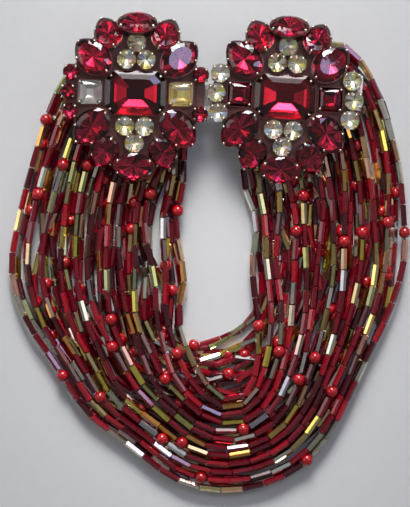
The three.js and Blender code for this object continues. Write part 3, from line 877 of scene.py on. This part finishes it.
def plate_pattern():
    """The oval plate that all the cups stand on, with its rim rounded."""
    centre, depth = (0, 0, -PLATE_THICKNESS * MM / 2), PLATE_THICKNESS * MM
    add = bpy.ops.mesh.primitive_cylinder_add
    plate = begin(add, vertices=64, radius=0.5, depth=depth, location=centre)
    bpy.ops.transform.resize(value=(PLATE_LENGTH * MM, PLATE_WIDTH * MM, 1), center_override=centre)
    pick(plate, lambda centre, normal: abs(normal.z) > 0.9)
    bpy.ops.mesh.bevel(offset=0.2 * MM, segments=2)
    return pattern_of(plate)


def foot_matrix(start, end, width):
    """Stretches a cube to the foot bar between two round stones, from the plate up."""
    start, end = Vector(start), Vector(end)
    step, middle = end - start, (start + end) / 2
    place = Matrix.Translation(Vector((middle.x, middle.y, FOOT / 2)) * MM)
    turn = Matrix.Rotation(math.atan2(step.y, step.x), 4, "Z")
    return place @ turn @ Matrix.Diagonal((step.length * MM, width * MM, FOOT * MM, 1))


def outline_point(cut, size, angle):
    """A point of a stone's girdle outline, in millimetres."""
    long, wide, corner = size
    if cut == "step":
        x = math.copysign(long / 2 - corner / 2, math.cos(angle))
        return Vector((x, math.copysign(wide / 2 - corner / 2, math.sin(angle)), 0))
    narrow = 1 - PEAR_TAPER * max(0, math.cos(angle)) ** 2 if cut == "pear" else 1
    return Vector((long / 2 * math.cos(angle), wide / 2 * math.sin(angle) * narrow, 0))


# Where the prongs stand round each cut, in degrees, and how they lean in and up
PRONGS = {
    "step": (45, 135, 225, 315),
    "pear": (0, 62, 180, 298),
    "oval": (30, 150, 210, 330),
    "round": (45, 135, 225, 315),
}
PRONG_LEAN, PRONG_INSET, PRONG_RISE = 28, 0.985, 0.75


def prong_places(cut, size, matrix):
    """Matrices for the prongs round one stone."""
    places = []
    for angle in PRONGS[cut]:
        point = outline_point(cut, size, math.radians(angle))
        out = point.normalized()
        lean = Matrix.Rotation(math.radians(PRONG_LEAN), 4, Vector((out.y, -out.x, 0)))
        foot = (point * PRONG_INSET + Vector((0, 0, PRONG_RISE))) * MM
        places.append(matrix @ Matrix.Translation(foot) @ lean)
    return places


class NECKLACE_OT_settings(bpy.types.Operator):
    """Models the plate, cups, feet and prongs of the two plaques"""

    bl_idname = "necklace.settings"
    bl_label = "Settings"

    def execute(self, context):
        colour = colours()
        # The setting colour holds a painted red reflection of the stones as well as the gunmetal's tone
        metal = cast_metal("cast_gunmetal", colour.setting, 0.25, 0.5, 2)
        bright = cast_metal("rhodium_plated_prongs", colour.prong, 0.12, 0.3, 1)
        prong, plate = prong_pattern(), plate_pattern()
        bar = pattern_of(begin(bpy.ops.mesh.primitive_cube_add, size=1))
        plain = [colour.setting]
        for side in PLAQUES:
            base = plaque_matrix(side)
            copies = [(plate, [base], 0, plain)]
            claws = []
            for stone in large_stones(PLAQUES[side]["clasp"]):
                matrix = base @ stone_matrix(*stone[3:])
                depth = stone.level * MM / math.cos(math.radians(stone.tilt))
                cup = cup_pattern(stone.cut, stone.size, depth, sizes().cup_wall)
                copies.append((cup, [matrix], 0, plain))
                claws += prong_places(stone.cut, stone.size, matrix)
            for group in round_groups(side):
                size = (group.diameter, group.diameter, 0)
                cup = cup_pattern("round", size, ROUND_LEVEL * MM, 0.1 * MM)
                matrices = [base @ stone_matrix(x, y, ROUND_LEVEL) for x, y in group.places]
                copies.append((cup, matrices, 0, plain * len(matrices)))
                *others, last = group.places
                feet = [base @ foot_matrix(last, place, group.cup) for place in others]
                copies.append((bar, feet, 0, plain * len(feet)))
                for matrix in matrices:
                    claws += prong_places("round", size, matrix)
            copies.append((prong, claws, 1, [colour.prong] * len(claws)))
            setting = joined(f"setting_{side}", copies, [metal, bright], "metal_colour")
            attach(setting, "root")
            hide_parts(f"plaque_{side}")
        return {"FINISHED"}


# Colours that a stone's back facets take: the foil's own tones, with painted glints in the near-white
# entries, painted shade in the dark ones, and a painted lilac reflection of the sky among the ruby ones
RUBY_FOIL_AND_GLINTS = ["#d88ca8", "#7c3048", "#f0b0cc", "#4c1c28", "#b8607c", "#ffd4e4", "#94405c", "#c8a0e0"]
OCTAGON_FOIL_AND_GLINTS = ["#c07880", "#84404c", "#d8949c", "#5c2830", "#a45c68"]
AURORA_FOIL_AND_GLINTS = ["#ffffff", "#ffec80", "#fffdf0", "#ffc4bc", "#ccdcff", "#fff4a8", "#98845c", "#ffffff"]
AURORA_FOIL_AND_GLINTS += ["#e8f4c4"]
GOLDEN_FOIL_AND_GLINTS = ["#ffffff", "#ffe890", "#fffbe8", "#ffdc70", "#ffffff"]
SILVER_FOIL_AND_GLINTS = ["#e4e4dc", "#c4c4bc", "#f8f8f0", "#a8a8a4", "#dcd8dc"]


def is_aurora(side, name):
    """Whether a stone is aurora crystal: the left squares, the trios up and down, the right ends."""
    if name.startswith(("trio_upper", "trio_lower")):
        return True
    return name.startswith("square") if side == "left" else name in ("trio_outer", "trio_inner")


def stone_finish(side, name):
    """A stone's materials (crown of glass, back of foil), its foil's palette with painted glints and shade,
    and its slot.
    """
    if is_aurora(side, name):
        # The left squares are golden at the clasp and silver outside
        palette = {"square_inner": GOLDEN_FOIL_AND_GLINTS, "square_outer": SILVER_FOIL_AND_GLINTS}.get(name, AURORA_FOIL_AND_GLINTS)
        glass = made_once("clear_lead_crystal", crystal, linear("#fbf8f2"))
        return [glass, made_once("aurora_foil", foil, 0.05, 0.2, 0.55)], palette, "aurora_crystal"
    palette = OCTAGON_FOIL_AND_GLINTS if name == "octagon" else RUBY_FOIL_AND_GLINTS
    glass = made_once("ruby_lead_crystal", crystal, colours().stone)
    return [glass, made_once("ruby_foil", foil, 0.06, 0.22, 0.95)], palette, "ruby_glass"


def facet_foil_and_glint_tints(pattern, rng, palette):
    """A colour for each facet of a stone, with painted glints and shade from the palette, up to a fifth
    darker or lighter than in the palette.
    """
    shades = [np.array(palette[rng.randrange(len(palette))]) * rng.uniform(0.8, 1.2) for _ in pattern.faces]
    return np.clip(np.array([shades]), 0, 1)


def stone_piece(side, name, kind, pattern, matrices, seed):
    """Places stones as one piece that stands for one node, with a crown of glass over foil."""
    rng = random.Random(seed + (LEFT_SEEDS if side == "left" else 0))
    materials, palette, slot = stone_finish(side, name)
    palette = [linear(value) for value in palette]
    slots = np.where(pattern.normals[:, 2] < -0.05, 1, 0)[None]
    # Each back facet takes a foil tone, a painted glint or a painted shade
    copies = [(pattern, [matrix], slots, facet_foil_and_glint_tints(pattern, rng, palette)) for matrix in matrices]
    piece = joined(f"{name}_{kind}_{side}", copies, materials, "facet_colour")
    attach(piece, "root")
    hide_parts(f"{name}_{side}")


class NECKLACE_OT_large_stones(bpy.types.Operator):
    """Cuts and places the octagons, squares, pears and petals"""

    bl_idname = "necklace.large_stones"
    bl_label = "Large Stones"

    def execute(self, context):
        patterns = {}
        for side in PLAQUES:
            base = plaque_matrix(side)
            for number, stone in enumerate(large_stones(PLAQUES[side]["clasp"])):
                key = stone.cut, stone.size
                if key not in patterns:
                    patterns[key] = stone_pattern(*key)
                matrix = base @ stone_matrix(*stone[3:])
                stone_piece(side, stone.name, "stone", patterns[key], [matrix], STONE_SEED + number)
        return {"FINISHED"}


class NECKLACE_OT_round_stones(bpy.types.Operator):
    """Cuts and places the groups of small round stones"""

    bl_idname = "necklace.round_stones"
    bl_label = "Round Stones"

    def execute(self, context):
        for side in PLAQUES:
            base = plaque_matrix(side)
            for number, group in enumerate(round_groups(side)):
                pattern = stone_pattern("round", (group.diameter, group.diameter, 0), 12)
                matrices = []
                for place, (x, y) in enumerate(group.places):
                    matrices.append(base @ stone_matrix(x, y, ROUND_LEVEL, spin=37 * place))
                stone_piece(side, group.name, "stones", pattern, matrices, ROUND_SEED + number)
        return {"FINISHED"}


class NECKLACE_OT_end_fittings(bpy.types.Operator):
    """Gives the end bars and the clasp their metal"""

    bl_idname = "necklace.end_fittings"
    bl_label = "End Fittings"

    def execute(self, context):
        metal = cast_metal("brushed_nickel_plate", colours().end_bar, 0.45, 0.65, 3)
        for name in ("end_bar_left", "end_bar_right", "clasp"):
            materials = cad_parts[name].data.materials
            materials.clear()
            materials.append(metal)
        return {"FINISHED"}


# Each lamp: place, side and power in metres and watts, spread in degrees, and light's colour
WHITE, LILAC = (1, 1, 1), (0.58, 0.6, 1)
LAMPS = {
    "key_softbox": ((0.0, 0.46, 0.3), 0.3, 0.4, 34, WHITE),
    "fill_softbox": ((0.7, 0.25, 0.7), 0.4, 0.8, 180, WHITE),
    "left_panel": ((-0.78, 0.22, 0.6), 0.5, 1.15, 180, WHITE),
    "top_panel": ((0.34, 0.41, 1.1), 0.24, 1.25, 180, LILAC),
}
LAMP_AIM = Vector((0, 0.03, 0))
SKY, SKY_STRENGTH = (0.82, 0.85, 0.9, 1), 0.25
# The camera looks straight down from this height, in metres, at a field this high, in millimetres
CAMERA_HEIGHT, FIELD, SENSOR = 1.35, 216.5, 24
VIEW_X, VIEW_Y = -0.85, 0.64


def lay_floor():
    """A large sheet with its top at the height where the necklace rests."""
    floor = begin(bpy.ops.mesh.primitive_plane_add, size=4)
    sink(20 * MM)
    bpy.ops.mesh.normals_make_consistent(inside=False)
    bpy.ops.object.mode_set(mode="OBJECT")
    floor.name = "paper_floor"
    floor.data.materials.append(paper("matte_paper"))


def light_scene(scene):
    """A pale sky, a narrow key light from the top and three wide panels."""
    world = scene.world or bpy.data.worlds.new("studio")
    scene.world = world
    world.use_nodes = True
    nodes = world.node_tree.nodes
    background = nodes.get("Background") or nodes.new("ShaderNodeBackground")
    background.inputs["Color"].default_value = SKY
    background.inputs["Strength"].default_value = SKY_STRENGTH
    for name, (place, side, power, spread, tint) in LAMPS.items():
        light = bpy.data.lights.new(name, "AREA")
        light.size, light.energy, light.color = side, power, tint
        light.spread = math.radians(spread)
        lamp = bpy.data.objects.new(name, light)
        lamp.location = place
        lamp.rotation_euler = (LAMP_AIM - Vector(place)).to_track_quat("-Z", "Y").to_euler()
        scene.collection.objects.link(lamp)


def set_camera(scene):
    """A camera above the necklace that takes in the photo's field."""
    camera = bpy.data.cameras.new("camera")
    camera.sensor_fit = "VERTICAL"
    camera.sensor_height = SENSOR
    camera.lens = SENSOR * CAMERA_HEIGHT / (FIELD * MM)
    view = bpy.data.objects.new("camera", camera)
    view.location = ((VIEW_X + SHIFT[0]) * MM, (VIEW_Y + SHIFT[1]) * MM, CAMERA_HEIGHT)
    scene.collection.objects.link(view)
    scene.camera = view
    scene.view_settings.view_transform = "Standard"


class NECKLACE_OT_stage(bpy.types.Operator):
    """Lays the floor and sets the lights and the camera"""

    bl_idname = "necklace.stage"
    bl_label = "Stage"

    def execute(self, context):
        lay_floor()
        light_scene(context.scene)
        set_camera(context.scene)
        return {"FINISHED"}


PIECES = (
    NECKLACE_OT_settings,
    NECKLACE_OT_large_stones,
    NECKLACE_OT_round_stones,
    NECKLACE_OT_lower_strands,
    NECKLACE_OT_top_strands,
    NECKLACE_OT_end_fittings,
    NECKLACE_OT_stage,
)


class NECKLACE_PT_sidebar(bpy.types.Panel):
    """Sizes, colours and pieces of the necklace"""

    bl_idname = "NECKLACE_PT_sidebar"
    bl_label = "Bib Necklace"
    bl_space_type = "VIEW_3D"
    bl_region_type = "UI"
    bl_category = "Necklace"

    def draw(self, context):
        for group in (context.scene.necklace_sizes, context.scene.necklace_colours):
            box = self.layout.box()
            for name in group.__annotations__:
                box.prop(group, name)
        for piece in PIECES:
            self.layout.operator(piece.bl_idname)


CLASSES = (NecklaceSizes, NecklaceColours, *PIECES, NECKLACE_PT_sidebar)


def register():
    """Adds the classes and the scene's properties."""
    for item in CLASSES:
        bpy.utils.register_class(item)
    bpy.types.Scene.necklace_sizes = PointerProperty(type=NecklaceSizes)
    bpy.types.Scene.necklace_colours = PointerProperty(type=NecklaceColours)


def unregister():
    """Removes the scene's properties and the classes."""
    del bpy.types.Scene.necklace_colours
    del bpy.types.Scene.necklace_sizes
    for item in reversed(CLASSES):
        bpy.utils.unregister_class(item)


def main():
    """Builds the necklace."""
    register()
    bpy.ops.necklace.settings()
    bpy.ops.necklace.large_stones()
    bpy.ops.necklace.round_stones()
    bpy.ops.necklace.lower_strands()
    bpy.ops.necklace.top_strands()
    bpy.ops.necklace.end_fittings()
    bpy.ops.necklace.stage()


if __name__ == "__main__":
    main()
